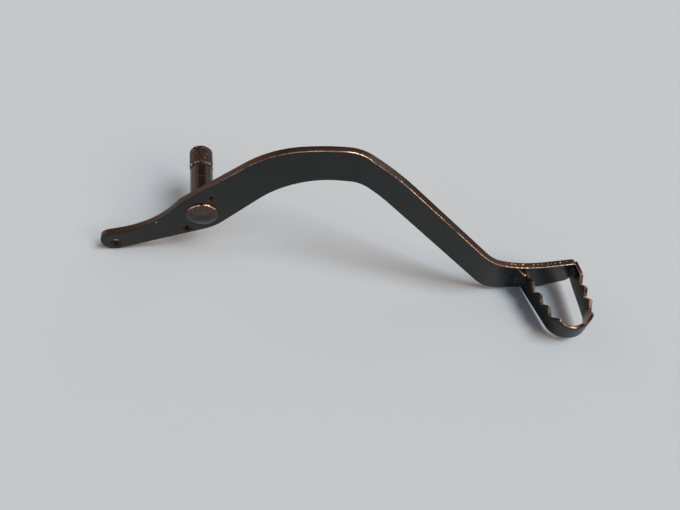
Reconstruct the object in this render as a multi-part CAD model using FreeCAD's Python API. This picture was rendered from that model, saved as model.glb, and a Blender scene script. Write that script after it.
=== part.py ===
import FreeCAD, Part
import math
import os

# Foot brake lever. Millimetres and degrees.
# Frame: origin on the pivot axis at the back face of the arm, +X to the toe, +Y along the shaft, +Z up.

# Arm blank, drawn flat: x from the pivot towards the toe, z across the blank
plate_t = 4.5  # sheet thickness
edge_r = 0.7  # rolled edge of the front face, which the punch enters
edge_break = 0.4  # broken edge of the back face
nose_end = 66.5  # pivot to the end of the linkage nose
nose_r = 7.5  # rounding of the nose
toe_end = 243.8  # pivot to the cut end of the toe, along the flat blank
toe_low_r = 5.0  # rounding of the toe's lower corner
toe_high_r = 3.5  # rounding of the toe's upper corner

# The two bends that carry the toe outboard of the pivot
bend_r = 20.0  # inside radius
bend_angle = 32.0  # turn of each bend
bend_1 = 92.0  # pivot to the start of the first bend, along the blank
bend_2 = 177.5  # pivot to the start of the second bend, along the blank
bend_sections = 7  # sections through each bend

# The blank is set nose down, so that nose and sole stand level
stance = 12.0

# Holes in the arm
clevis_x = 58.1  # linkage hole behind the pivot
clevis_z = 15.2  # linkage hole below the pivot
clevis_d = 6.6
spring_d = 5.4  # spring hook holes
spring_high_x = 8.9
spring_high_z = 12.8
spring_low_x = 12.6
spring_low_z = 11.9
hole_break = 0.3  # broken edge of each hole

# Pivot shaft, riveted into the arm
shaft_d = 14.0
shaft_out = 46.0  # back face of the arm to the free end
spigot_d = 11.0  # reduced end that passes through the arm
head_d = 19.0  # riveted head
head_rim = 0.7  # height of the head at its rim
head_h = 2.4  # height of the head at its middle
groove_in = 14.8  # free end to the retaining groove
groove_w = 1.5
groove_depth = 0.7
shaft_end_r = 1.6  # rounding of the free end

# Tread, a toothed strip bent into a loop and welded to the toe
strip_t = 2.5  # strip thickness
tread_w = 34.4  # outside of the back leg to the end of the toe, at the arm
tread_reach = 41.6  # face of the toe to the outside of the bow
tread_drop = 74.6  # lower edge of the strip below the pivot, across the blank
back_slant = 11.7  # lean of the back leg into the loop
front_slant = 4.4  # lean of the front leg into the loop
lap_short = 0.7  # the strip's end stops this far short of the toe's back face
root_h = 16.6  # strip height at the toe
tip_h = 18.2  # height of the tooth tips
valley_h = 11.5  # height of the notches
bow_h = 13.2  # height at the outside of the bow
first_tip = 6.6  # face of the toe to the first tip
tooth_pitch = 9.6
tooth_fall = 4.15  # tip to the notch outside it

# Weld beads at the two roots of the tread
back_bead_foot = 6.4  # width on the toe
back_bead_leg = 3.8  # width on the strip
back_bead_low = 3.0  # start above the strip's lower edge
back_bead_rise = 7.4  # how far it climbs the toe above the strip
front_bead_leg = 3.2  # width on the toe and on the strip
front_bead_low = 4.5
front_bead_short = 1.6  # how far it stops below the strip's upper edge
bead_crown = 0.5  # swell of a bead's face

# Corners of the arm's outline on the blank: x, z and the radius that rounds each of them
lower_edge = [
    (-nose_end, -22.4, nose_r),
    (4.0, -14.5, 28.0),
    (59.0, 20.5, 55.0),
    (105.0, 3.0, 98.0),
    (184.5, -67.0, 33.0),
    (221.0, -78.0, 21.0),
    (toe_end, -75.5, toe_low_r),
]
upper_edge = [
    (toe_end, -54.8, toe_high_r),
    (201.0, -50.7, 73.0),
    (106.0, 33.0, 118.0),
    (50.0, 42.5, 58.0),
    (-10.0, 12.5, 15.0),
    (-30.5, -5.3, 60.0),
    (-nose_end, -5.7, nose_r),
]

V = FreeCAD.Vector
X_AXIS = V(1, 0, 0)
Y_AXIS = V(0, 1, 0)
Z_AXIS = V(0, 0, 1)


def rounded_face(corners):
    """Face on the blank's plane through corners (x, z, r): straight sides joined by tangent arcs."""
    joints = []
    count = len(corners)
    for i, (x, z, r) in enumerate(corners):
        before = corners[i - 1]
        after = corners[(i + 1) % count]
        here = V(x, 0, z)
        back = (V(before[0], 0, before[1]) - here).normalize()
        ahead = (V(after[0], 0, after[1]) - here).normalize()
        half = back.getAngle(ahead) / 2
        run = r / math.tan(half)
        middle = here + (back + ahead).normalize() * (r / math.sin(half) - r)
        joints.append((here + back * run, middle, here + ahead * run))
    edges = []
    for i, (start, middle, end) in enumerate(joints):
        edges.append(Part.Arc(start, middle, end).toShape())
        edges.append(Part.makeLine(end, joints[(i + 1) % count][0]))
    return Part.Face(Part.Wire(edges))


def hole(x, z, d):
    """Cutter for a hole through the sheet at (x, z), with both rims broken."""
    r = d / 2
    wide = r + hole_break
    profile = [
        V(0, -plate_t - 1, 0),
        V(wide, -plate_t - 1, 0),
        V(wide, -plate_t, 0),
        V(r, -plate_t + hole_break, 0),
        V(r, -hole_break, 0),
        V(wide, 0, 0),
        V(wide, 1, 0),
        V(0, 1, 0),
    ]
    cutter = Part.Face(Part.makePolygon(profile + profile[:1])).revolve(V(), Y_AXIS, 360)
    cutter.translate(V(x, 0, z))
    return cutter


def turned(angle, centre):
    """Placement that turns about a vertical line through a point of the plan."""
    return FreeCAD.Placement(V(), FreeCAD.Rotation(Z_AXIS, angle), centre)


def moved(shape, placement):
    """Copy of a shape carried by a placement."""
    copy = shape.copy()
    copy.Placement = placement.multiply(copy.Placement)
    return copy


# Bend lengths on the neutral line, and the lines the two bends turn about
neutral_r = bend_r + plate_t / 2
bend_len = neutral_r * math.radians(bend_angle)
centre_1 = V(bend_1, -plate_t - bend_r, 0)
centre_2 = V(bend_2, bend_r, 0)
slide_back = FreeCAD.Placement(V(-bend_len, 0, 0), FreeCAD.Rotation())
to_ramp = turned(-bend_angle, centre_1).multiply(slide_back)
to_toe = to_ramp.multiply(turned(bend_angle, centre_2)).multiply(slide_back)


def slab(start, end):
    """Box that holds the stretch of the blank between two stations."""
    half = 2 * toe_end
    return Part.makeBox(end - start, 2 * half, 2 * half, V(start, -half, -half))


def bent(flat, start, centre, sign, carry):
    """One bend: true sections of the flat blank, each turned to its place on the neutral line."""
    sections = []
    for i in range(bend_sections):
        part = i / (bend_sections - 1)
        along = bend_len * part
        section = flat.slice(X_AXIS, start + along)[0]
        pull = FreeCAD.Placement(V(-along, 0, 0), FreeCAD.Rotation())
        turn = turned(sign * bend_angle * part, centre)
        sections.append(moved(section, carry.multiply(turn).multiply(pull)))
    return Part.makeLoft(sections, True, False)


# Arm: blank with its front edges rolled and its back edges broken, punched, then bent twice
outline = rounded_face(lower_edge + upper_edge)
blank = outline.extrude(V(0, -plate_t, 0))
front_rim = [e for e in blank.Edges if e.BoundBox.YMax < -plate_t / 2]
blank = blank.makeFillet(edge_r, front_rim)
back_rim = [e for e in blank.Edges if e.BoundBox.YMin > -edge_break / 2]
blank = blank.makeChamfer(edge_break, back_rim)
blank = blank.cut(Part.makeCylinder(spigot_d / 2, 2 * plate_t, V(0, -1.5 * plate_t, 0), Y_AXIS))
blank = blank.cut(hole(-clevis_x, -clevis_z, clevis_d))
blank = blank.cut(hole(spring_high_x, spring_high_z, spring_d))
blank = blank.cut(hole(-spring_low_x, -spring_low_z, spring_d))

stay = FreeCAD.Placement()
pivot_part = blank.common(slab(-2 * nose_end, bend_1))
ramp_part = moved(blank.common(slab(bend_1 + bend_len, bend_2)), to_ramp)
toe_part = moved(blank.common(slab(bend_2 + bend_len, 2 * toe_end)), to_toe)
first_bend = bent(blank, bend_1, centre_1, -1, stay)
second_bend = bent(blank, bend_2, centre_2, 1, to_ramp)
lever_arm = pivot_part.fuse([first_bend, ramp_part, second_bend, toe_part]).removeSplitter()

# Shaft: turned profile with shoulder, groove and riveted head
shank_r = shaft_d / 2
front = -plate_t
dome = head_h - head_rim
rim_r = head_d / 2
groove_far = shaft_out - groove_in
groove_near = groove_far - groove_w
groove_r = shank_r - groove_depth
ease = shaft_end_r * (1 - math.sqrt(0.5))
half_way = rim_r * math.sqrt(0.5)
dome_mid = front - head_rim - dome * (1 - (half_way / rim_r) ** 2)
points = [
    V(rim_r, front - head_rim, 0),
    V(rim_r, front, 0),
    V(spigot_d / 2, front, 0),
    V(spigot_d / 2, 0, 0),
    V(shank_r, 0, 0),
    V(shank_r, groove_near, 0),
    V(groove_r, groove_near, 0),
    V(groove_r, groove_far, 0),
    V(shank_r, groove_far, 0),
    V(shank_r, shaft_out - shaft_end_r, 0),
]
head_top = V(0, front - head_h, 0)
end_rim = V(shank_r - shaft_end_r, shaft_out, 0)
end_middle = V(0, shaft_out, 0)
profile = [
    Part.Arc(head_top, V(half_way, dome_mid, 0), points[0]).toShape(),
    *Part.makePolygon(points).Edges,
    Part.Arc(points[-1], V(shank_r - ease, shaft_out - ease, 0), end_rim).toShape(),
    Part.makeLine(end_rim, end_middle),
    Part.makeLine(end_middle, head_top),
]
pivot_shaft = Part.Face(Part.Wire(profile)).revolve(V(), Y_AXIS, 360)

# Tread, drawn on the blank's toe and carried outboard with it
sole = -tread_drop
back_lean = math.radians(back_slant)
front_lean = math.radians(front_slant)
lap = plate_t - lap_short
back_root = toe_end - tread_w
front_root = toe_end + strip_t / math.cos(front_lean)

# The bow is the round that touches both legs and the line of the tread's reach
bow_line = front_root - back_root - tread_reach * (math.tan(back_lean) + math.tan(front_lean))
back_run = 1 / math.tan(math.pi / 4 + back_lean / 2)
front_run = 1 / math.tan(math.pi / 4 + front_lean / 2)
bow_r = bow_line / (back_run + front_run)
bow_x = back_root + tread_reach * math.tan(back_lean) + bow_r * back_run
bow_y = front - tread_reach + bow_r


def loop_face(inset):
    """Plan of the loop's outside, or of its inside for an inset of the strip's thickness."""
    r = bow_r - inset
    side = strip_t - inset
    open_end = front + lap + inset
    back_tangent = V(bow_x - r * math.cos(back_lean), bow_y - r * math.sin(back_lean), 0)
    front_tangent = V(bow_x + r * math.cos(front_lean), bow_y - r * math.sin(front_lean), 0)
    back_end = V(back_tangent.x - math.tan(back_lean) * (open_end - back_tangent.y), open_end, 0)
    knee = V(toe_end + side, front - side * math.tan(front_lean / 2), 0)
    front_end = V(toe_end + side, open_end, 0)
    edges = [
        Part.makeLine(back_end, back_tangent),
        Part.Arc(back_tangent, V(bow_x, bow_y - r, 0), front_tangent).toShape(),
        Part.makeLine(front_tangent, knee),
        Part.makeLine(knee, front_end),
        Part.makeLine(front_end, back_end),
    ]
    return Part.Face(Part.Wire(edges))


band = loop_face(0).extrude(V(0, 0, 2 * tip_h)).cut(loop_face(strip_t).extrude(V(0, 0, 2 * tip_h)))
toe_block = Part.makeBox(toe_end, 2 * plate_t, 4 * tip_h, V(0, front, -tip_h))
band = band.cut(toe_block)

# Teeth: one saw line cut across both legs, falling away over the bow
tooth_steps = int((tread_reach - first_tip - tooth_fall) / tooth_pitch)
last_tip = first_tip + tooth_steps * tooth_pitch
saw = [V(0, front + 2 * plate_t, root_h), V(0, front, root_h)]
for i in range(tooth_steps):
    tip = first_tip + i * tooth_pitch
    saw.append(V(0, front - tip, tip_h))
    saw.append(V(0, front - tip - tooth_fall, valley_h))
fall = (tip_h - bow_h) / (tread_reach - last_tip)
beyond = tread_reach + strip_t
saw.append(V(0, front - last_tip, tip_h))
saw.append(V(0, front - beyond, tip_h - fall * (beyond - last_tip)))
saw.append(V(0, front - beyond, 3 * tip_h))
saw.append(V(0, front + 2 * plate_t, 3 * tip_h))
cutter = Part.Face(Part.makePolygon(saw + saw[:1])).extrude(V(2 * toe_end, 0, 0))
tread_loop = band.cut(cutter)
tread_loop.translate(V(0, 0, sole))


def bead(corner, foot, leg, leg_way, low, high, rise):
    """Weld bead in a corner of the plan: foot on the toe's face, leg on the strip, crowned face.
    It starts at low, and its top climbs from high at the corner by the rise at the foot."""
    a = corner - V(foot, 0, 0)
    b = corner + leg_way * leg
    out = (a + b) * 0.5 - corner
    swell = (a + b) * 0.5 + out.normalize() * bead_crown
    edges = [
        Part.makeLine(corner, a),
        Part.Arc(a, swell, b).toShape(),
        Part.makeLine(b, corner),
    ]
    plan = Part.Face(Part.Wire(edges)).extrude(V(0, 0, 2 * (high + rise)))
    side = [
        V(corner.x - 2 * foot, front - 2 * leg, low),
        V(corner.x + 2 * leg, front - 2 * leg, low),
        V(corner.x + 2 * leg, front - 2 * leg, high),
        V(corner.x, front - 2 * leg, high),
        V(corner.x - 2 * foot, front - 2 * leg, high + 2 * rise),
    ]
    stretch = Part.Face(Part.makePolygon(side + side[:1])).extrude(V(0, 4 * leg, 0))
    solid = plan.common(stretch)
    solid.translate(V(0, 0, sole))
    return solid


back_way = V(math.sin(back_lean), -math.cos(back_lean), 0)
front_way = V(-math.sin(front_lean), -math.cos(front_lean), 0)
back_corner = V(back_root, front, 0)
front_corner = V(toe_end, front, 0)
back_bead = bead(back_corner, back_bead_foot, back_bead_leg, back_way, back_bead_low, root_h, back_bead_rise)
front_high = root_h - front_bead_short
front_bead = bead(front_corner, front_bead_leg, front_bead_leg, front_way, front_bead_low, front_high, 0)

nodes = {
    "lever_arm": lever_arm,
    "pivot_shaft": pivot_shaft,
    "tread_loop": moved(tread_loop, to_toe),
    "weld_back": moved(back_bead, to_toe),
    "weld_front": moved(front_bead, to_toe),
}

os.makedirs("parts", exist_ok=True)
level = FreeCAD.Placement(V(), FreeCAD.Rotation(Y_AXIS, -stance))
for name, shape in nodes.items():
    moved(shape, level).exportStep(f"parts/{name}.step")
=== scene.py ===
"""Looks of a motorcycle's foot brake pedal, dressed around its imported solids.

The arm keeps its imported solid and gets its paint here. The pivot shaft, the tread and the
welds are surfaces worked out as arrays, in millimetres in the row frame, and stand for
their solids. A torn burr is added along the sheared top edge of the toe.
"""

from __future__ import annotations

import logging
import math
from collections.abc import Callable
from dataclasses import dataclass
from enum import Enum

import bpy
import numpy as np
from mathutils import Matrix, Vector


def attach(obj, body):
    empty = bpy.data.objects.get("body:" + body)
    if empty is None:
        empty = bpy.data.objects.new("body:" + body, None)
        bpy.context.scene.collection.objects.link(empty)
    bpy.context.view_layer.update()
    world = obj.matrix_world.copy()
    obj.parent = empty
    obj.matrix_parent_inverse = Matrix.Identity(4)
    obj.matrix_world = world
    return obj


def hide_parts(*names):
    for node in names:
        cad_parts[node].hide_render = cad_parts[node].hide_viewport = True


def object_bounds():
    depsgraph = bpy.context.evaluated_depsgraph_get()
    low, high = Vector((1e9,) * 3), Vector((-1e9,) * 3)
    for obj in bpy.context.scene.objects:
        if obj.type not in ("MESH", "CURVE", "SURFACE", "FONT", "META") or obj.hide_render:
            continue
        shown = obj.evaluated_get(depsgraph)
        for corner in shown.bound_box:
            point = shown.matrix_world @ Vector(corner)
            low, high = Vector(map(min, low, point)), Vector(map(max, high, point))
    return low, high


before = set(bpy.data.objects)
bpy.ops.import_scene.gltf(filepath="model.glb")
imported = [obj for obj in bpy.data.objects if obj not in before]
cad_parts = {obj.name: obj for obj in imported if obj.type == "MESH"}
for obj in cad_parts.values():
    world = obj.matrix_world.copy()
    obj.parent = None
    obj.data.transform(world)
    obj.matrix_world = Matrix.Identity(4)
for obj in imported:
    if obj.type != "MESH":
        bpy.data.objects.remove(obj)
CAD_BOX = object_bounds()
BODY = "root"
MM = 0.001
STANCE = math.radians(12.0)  # the blank is set nose down by this angle in the row frame
PLATE_T = 4.5  # sheet of the arm, in millimetres

log = logging.getLogger("brake_pedal")

Link = tuple[bpy.types.Node, str]


class Slot(Enum):
    """Material slots of the record."""

    ARM = "arm_paint"
    SHAFT = "shaft_paint"
    TREAD = "tread_paint"
    WELD = "weld_paint"


def to_linear(hex_colour: str) -> tuple[float, float, float, float]:
    """Turn an sRGB hex colour into the linear RGBA that a shader socket takes.

    Args:
        hex_colour: six hex digits after a hash sign.

    Returns:
        Linear red, green, blue and an alpha of one.
    """
    channels = [int(hex_colour[i:i + 2], 16) / 255 for i in (1, 3, 5)]
    linear = [c / 12.92 if c <= 0.04045 else ((c + 0.055) / 1.055) ** 2.4 for c in channels]
    return (*linear, 1.0)


def add_node(tree: bpy.types.NodeTree, kind: str, settings: dict | None = None,
             inputs: dict | None = None) -> bpy.types.Node:
    """Add a shader node with its settings, constants and links.

    Args:
        tree: node tree that gets the node.
        kind: the node's type name, without the ShaderNode prefix.
        settings: attributes of the node; stops are pairs of place and grey level for a ramp.
        inputs: socket name or number to a constant, or to a (node, output) pair that is linked.

    Returns:
        The new node.
    """
    node = tree.nodes.new("ShaderNode" + kind)
    for key, value in (settings or {}).items():
        if key == "stops":
            ramp = node.color_ramp.elements
            while len(ramp) < len(value):
                ramp.new(1.0)
            for stop, (place, level) in zip(ramp, value):
                stop.position = place
                stop.color = (level, level, level, 1.0)
        else:
            setattr(node, key, value)
    for key, value in (inputs or {}).items():
        if isinstance(value, tuple) and isinstance(value[0], bpy.types.Node):
            tree.links.new(value[0].outputs[value[1]], node.inputs[key])
        else:
            node.inputs[key].default_value = value
    return node


def per_mm(size_mm: float) -> float:
    """Texture scale that gives a pattern of this size on coordinates in metres."""
    return 1.0 / (size_mm * MM)


def wave_noise(points: np.ndarray, size: float, seed: int, waves: int = 28) -> np.ndarray:
    """Smooth noise: the sum of sine waves that run in random directions through space.

    Args:
        points: array (..., 3) in millimetres.
        size: usual wavelength in millimetres.
        seed: number that fixes the draw.
        waves: how many sines are summed.

    Returns:
        Array (...) with mean zero and a deviation of about one.
    """
    draw = np.random.default_rng(seed)
    heading = draw.normal(size=(waves, 3))
    heading /= np.linalg.norm(heading, axis=1, keepdims=True)
    wavelength = size * draw.uniform(0.6, 1.7, waves)
    phase = draw.uniform(0.0, 2 * math.pi, waves)
    angle = points @ (heading * (2 * math.pi / wavelength[:, None])).T + phase
    return np.sin(angle).sum(axis=-1) / math.sqrt(waves / 2)


def ease(value: np.ndarray, low: float, high: float) -> np.ndarray:
    """Smooth step: 0 below low, 1 above high, and a cubic between them."""
    share = np.clip((value - low) / (high - low), 0.0, 1.0)
    return share * share * (3 - 2 * share)


def bell(value: np.ndarray, middle: float, width: float) -> np.ndarray:
    """Bell curve: 1 at the middle, falling to 0.37 one width away."""
    return np.exp(-((value - middle) / width) ** 2)


def spaced(corners: np.ndarray, step: float) -> np.ndarray:
    """Space points evenly along the straight runs between corners.

    Args:
        corners: array (m, 2) of the runs' ends.
        step: spacing along the runs.

    Returns:
        Array (n, 2) of points.
    """
    length = np.concatenate([[0.0], np.cumsum(np.linalg.norm(np.diff(corners, axis=0), axis=1))])
    evenly = np.linspace(0.0, length[-1], int(length[-1] / step))
    return np.stack([np.interp(evenly, length, corners[:, i]) for i in (0, 1)], axis=-1)


def tilted_to_row(points: np.ndarray, angle: float = STANCE) -> np.ndarray:
    """Turn points from the blank's tilted axes to the row frame: a turn about Y by the stance.

    Args:
        points: array (..., 3).
        angle: the turn in radians, nose down.

    Returns:
        The turned points.
    """
    x, y, z = np.moveaxis(points, -1, 0)
    cos, sin = math.cos(angle), math.sin(angle)
    return np.stack([x * cos - z * sin, y, x * sin + z * cos], axis=-1)


def row_to_tilted(points: np.ndarray) -> np.ndarray:
    """Turn points back from the row frame to the blank's tilted axes."""
    return tilted_to_row(points, -STANCE)


def node_points(name: str) -> np.ndarray:
    """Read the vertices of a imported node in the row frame.

    Args:
        name: the node's name.

    Returns:
        Array (n, 3) in millimetres.
    """
    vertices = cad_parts[name].data.vertices
    flat = np.empty(len(vertices) * 3)
    vertices.foreach_get("co", flat)
    return flat.reshape(-1, 3) / MM


@dataclass
class Shell:
    """Closed surface: points in millimetres, four-cornered and three-cornered faces, and wear with painted
    highlights.
    """

    points: np.ndarray
    quads: np.ndarray
    triangles: np.ndarray
    wear: np.ndarray

    @classmethod
    def from_rings(cls, rings: np.ndarray, wear: np.ndarray) -> Shell:
        """Carry a closed section along a path and close both ends.

        Ring i, point j joins its neighbours in a grid that wraps round in j, and the first
        and last rings are closed by fans about their mean points. The faces are turned
        outwards by the sign of the volume that they enclose.

        Args:
            rings: array (n, m, 3) of n sections with m points each.
            wear: array (n, m), 0 for sound paint to 1 for the strongest rub and painted highlight.

        Returns:
            The closed surface.
        """
        count, width, _ = rings.shape
        ends = np.stack([rings[0].mean(axis=0), rings[-1].mean(axis=0)])
        points = np.concatenate([rings.reshape(-1, 3), ends])
        index = np.arange(count * width).reshape(count, width)
        beside = np.roll(index, -1, axis=1)
        quads = np.stack([index[:-1], beside[:-1], beside[1:], index[1:]], axis=-1).reshape(-1, 4)
        first = np.stack([beside[0], index[0], np.full(width, count * width)], axis=-1)
        last = np.stack([index[-1], beside[-1], np.full(width, count * width + 1)], axis=-1)
        halves = np.concatenate([quads[:, [0, 1, 2]], quads[:, [0, 2, 3]], first, last])
        a, b, c = (points[halves[:, i]] for i in range(3))
        turn = 1 if np.einsum("ij,ij->", a, np.cross(b, c)) > 0 else -1
        triangles = np.concatenate([first, last])
        all_wear = np.concatenate([wear.ravel(), [wear[0].mean(), wear[-1].mean()]])
        return cls(points, quads[:, ::turn], triangles[:, ::turn], all_wear)

    def joined(self, other: Shell) -> Shell:
        """Put both surfaces into one.

        Args:
            other: the surface that is added.

        Returns:
            The surface of both.
        """
        shift = len(self.points)
        return Shell(np.concatenate([self.points, other.points]),
                     np.concatenate([self.quads, other.quads + shift]),
                     np.concatenate([self.triangles, other.triangles + shift]),
                     np.concatenate([self.wear, other.wear]))

    def to_object(self, name: str, material: bpy.types.Material, sharp_deg: float) -> bpy.types.Object:
        """Put the surface into the scene as a smooth mesh with its wear and painted highlights as an
        attribute.

        Args:
            name: the piece's name.
            material: its finish.
            sharp_deg: folds sharper than this stay crisp.

        Returns:
            The new object, at the origin.
        """
        faces = self.quads.tolist() + self.triangles.tolist()
        mesh = bpy.data.meshes.new(name)
        mesh.from_pydata((self.points * MM).tolist(), [], faces)
        mesh.polygons.foreach_set("use_smooth", np.ones(len(faces), dtype=bool))
        mesh.set_sharp_from_angle(angle=math.radians(sharp_deg))
        wear = mesh.attributes.new("wear", "FLOAT", "POINT")
        wear.data.foreach_set("value", np.clip(self.wear, 0.0, 1.0).astype(np.float32))
        mesh.materials.append(material)
        mesh.update()
        piece = bpy.data.objects.new(name, mesh)
        bpy.context.scene.collection.objects.link(piece)
        return piece


def settle(piece: bpy.types.Object, slot: Slot, node: str | None = None) -> None:
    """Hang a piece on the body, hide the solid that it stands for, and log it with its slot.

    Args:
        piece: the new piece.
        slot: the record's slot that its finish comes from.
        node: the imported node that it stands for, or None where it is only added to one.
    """
    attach(piece, BODY)
    if node:
        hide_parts(node)
    log.info("%s: %d faces, slot %s", piece.name, len(piece.data.polygons), slot.value)


@dataclass(frozen=True)
class BlackPaint:
    """Air-dried black paint, sprayed on steel: nearly black, a soft gloss broken by orange peel, thin and
    brown where edges have been rubbed, with a painted warm reflection and a painted copper highlight there,
    and a little dull dust on it."""

    name: str
    paint: str = "#0c0d0e"  # sound paint: black, with no colour of its own
    rubbed_and_reflection: str = "#5e4030"  # paint rubbed thin over its brown undercoat, and a painted warm reflection on the edges
    bare_and_highlight: str = "#dcbca2"  # painted copper highlight on rounded edges, and bare metal where the rub has gone through
    dust: str = "#242322"  # thin grey film in patches
    gloss: float = 0.24  # roughness of sound paint: blurred reflections
    dull: float = 0.40  # roughness where dust and handling have dulled it
    peel_mm: float = 2.6  # width of an orange-peel dimple, which wavers the reflections
    grit_mm: float = 0.45  # dust nibs, drawn coarse enough to show, which break up the highlights
    patch_mm: float = 24.0  # handled and dusty patches
    peel_depth_mm: float = 0.04
    grit_depth_mm: float = 0.010
    ior: float = 1.4  # weathered paint, a little less bright than new
    dusty_at: tuple[float, float] = (0.42, 0.72)  # patch noise where dust begins and where it is full
    dust_share: float = 0.3  # most of the paint that dust hides
    broken_at: tuple[float, float] = (0.35, 0.62)  # grit noise where a rub is weakest and strongest
    broken_share: float = 0.45  # share of a rub that is left where it is weakest
    bare_at: tuple[float, float] = (0.42, 0.78)  # rub and painted highlight where the copper begins to show and where it is full
    dulled_at: tuple[float, float] = (0.3, 0.7)  # patch noise of glossy and of dulled paint

    def shade(self, rub_and_highlight_source: Callable[[bpy.types.NodeTree], Link]) -> bpy.types.Material:
        """Build the paint over a given source of wear.

        Args:
            rub_and_highlight_source: adds nodes to the tree and returns the link that gives wear and painted
                highlight, 0 to 1.

        Returns:
            The finished material.
        """
        material = bpy.data.materials.new(self.name)
        material.use_nodes = True
        tree = material.node_tree
        shader = tree.nodes["Principled BSDF"]
        place = add_node(tree, "TexCoord")
        here = (place, "Object")
        peel = add_node(tree, "TexNoise", None, {
            "Vector": here, "Scale": per_mm(self.peel_mm), "Detail": 1.0, "Roughness": 0.4})
        grit = add_node(tree, "TexNoise", None, {
            "Vector": here, "Scale": per_mm(self.grit_mm), "Detail": 2.0, "Roughness": 0.6})
        patch = add_node(tree, "TexNoise", None, {
            "Vector": here, "Scale": per_mm(self.patch_mm), "Detail": 4.0, "Roughness": 0.6})
        dusty = add_node(tree, "MapRange", None, {
            "Value": (patch, "Fac"), "From Min": self.dusty_at[0], "From Max": self.dusty_at[1],
            "To Min": 0.0, "To Max": self.dust_share})
        broken = add_node(tree, "MapRange", None, {
            "Value": (grit, "Fac"), "From Min": self.broken_at[0], "From Max": self.broken_at[1],
            "To Min": self.broken_share, "To Max": 1.0})
        rub_and_highlight = add_node(tree, "Math", {"operation": "MULTIPLY", "use_clamp": True}, {
            0: rub_and_highlight_source(tree), 1: (broken, "Result")})
        painted = add_node(tree, "Mix", {"data_type": "RGBA"}, {
            "Factor": (dusty, "Result"), "A": to_linear(self.paint), "B": to_linear(self.dust)})
        # wear and painted reflection: the rub turns the edges brown, and copper where it is strongest, which
        # stands in for the lamps' highlight
        thin_and_reflection = add_node(tree, "Mix", {"data_type": "RGBA"}, {
            "Factor": (rub_and_highlight, "Value"), "A": (painted, "Result"), "B": to_linear(self.rubbed_and_reflection)})
        through_and_highlight = add_node(tree, "MapRange", {"interpolation_type": "SMOOTHSTEP"}, {
            "Value": (rub_and_highlight, "Value"), "From Min": self.bare_at[0], "From Max": self.bare_at[1],
            "To Min": 0.0, "To Max": 1.0})
        colour = add_node(tree, "Mix", {"data_type": "RGBA"}, {
            "Factor": (through_and_highlight, "Result"), "A": (thin_and_reflection, "Result"), "B": to_linear(self.bare_and_highlight)})
        rough = add_node(tree, "MapRange", None, {
            "Value": (patch, "Fac"), "From Min": self.dulled_at[0], "From Max": self.dulled_at[1],
            "To Min": self.gloss, "To Max": self.dull})
        grain = add_node(tree, "Bump", None, {
            "Strength": 1.0, "Distance": self.grit_depth_mm * MM, "Height": (grit, "Fac")})
        waves = add_node(tree, "Bump", None, {
            "Strength": 1.0, "Distance": self.peel_depth_mm * MM, "Height": (peel, "Fac"),
            "Normal": (grain, "Normal")})
        tree.links.new(colour.outputs["Result"], shader.inputs["Base Color"])
        tree.links.new(through_and_highlight.outputs["Result"], shader.inputs["Metallic"])
        tree.links.new(rough.outputs["Result"], shader.inputs["Roughness"])
        tree.links.new(waves.outputs["Normal"], shader.inputs["Normal"])
        shader.inputs["IOR"].default_value = self.ior
        return material


def rub_and_highlight_from_attribute(tree: bpy.types.NodeTree) -> Link:
    """Wear and painted highlight that a piece carries on its own points."""
    return (add_node(tree, "Attribute", {"attribute_name": "wear"}), "Fac")


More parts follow.
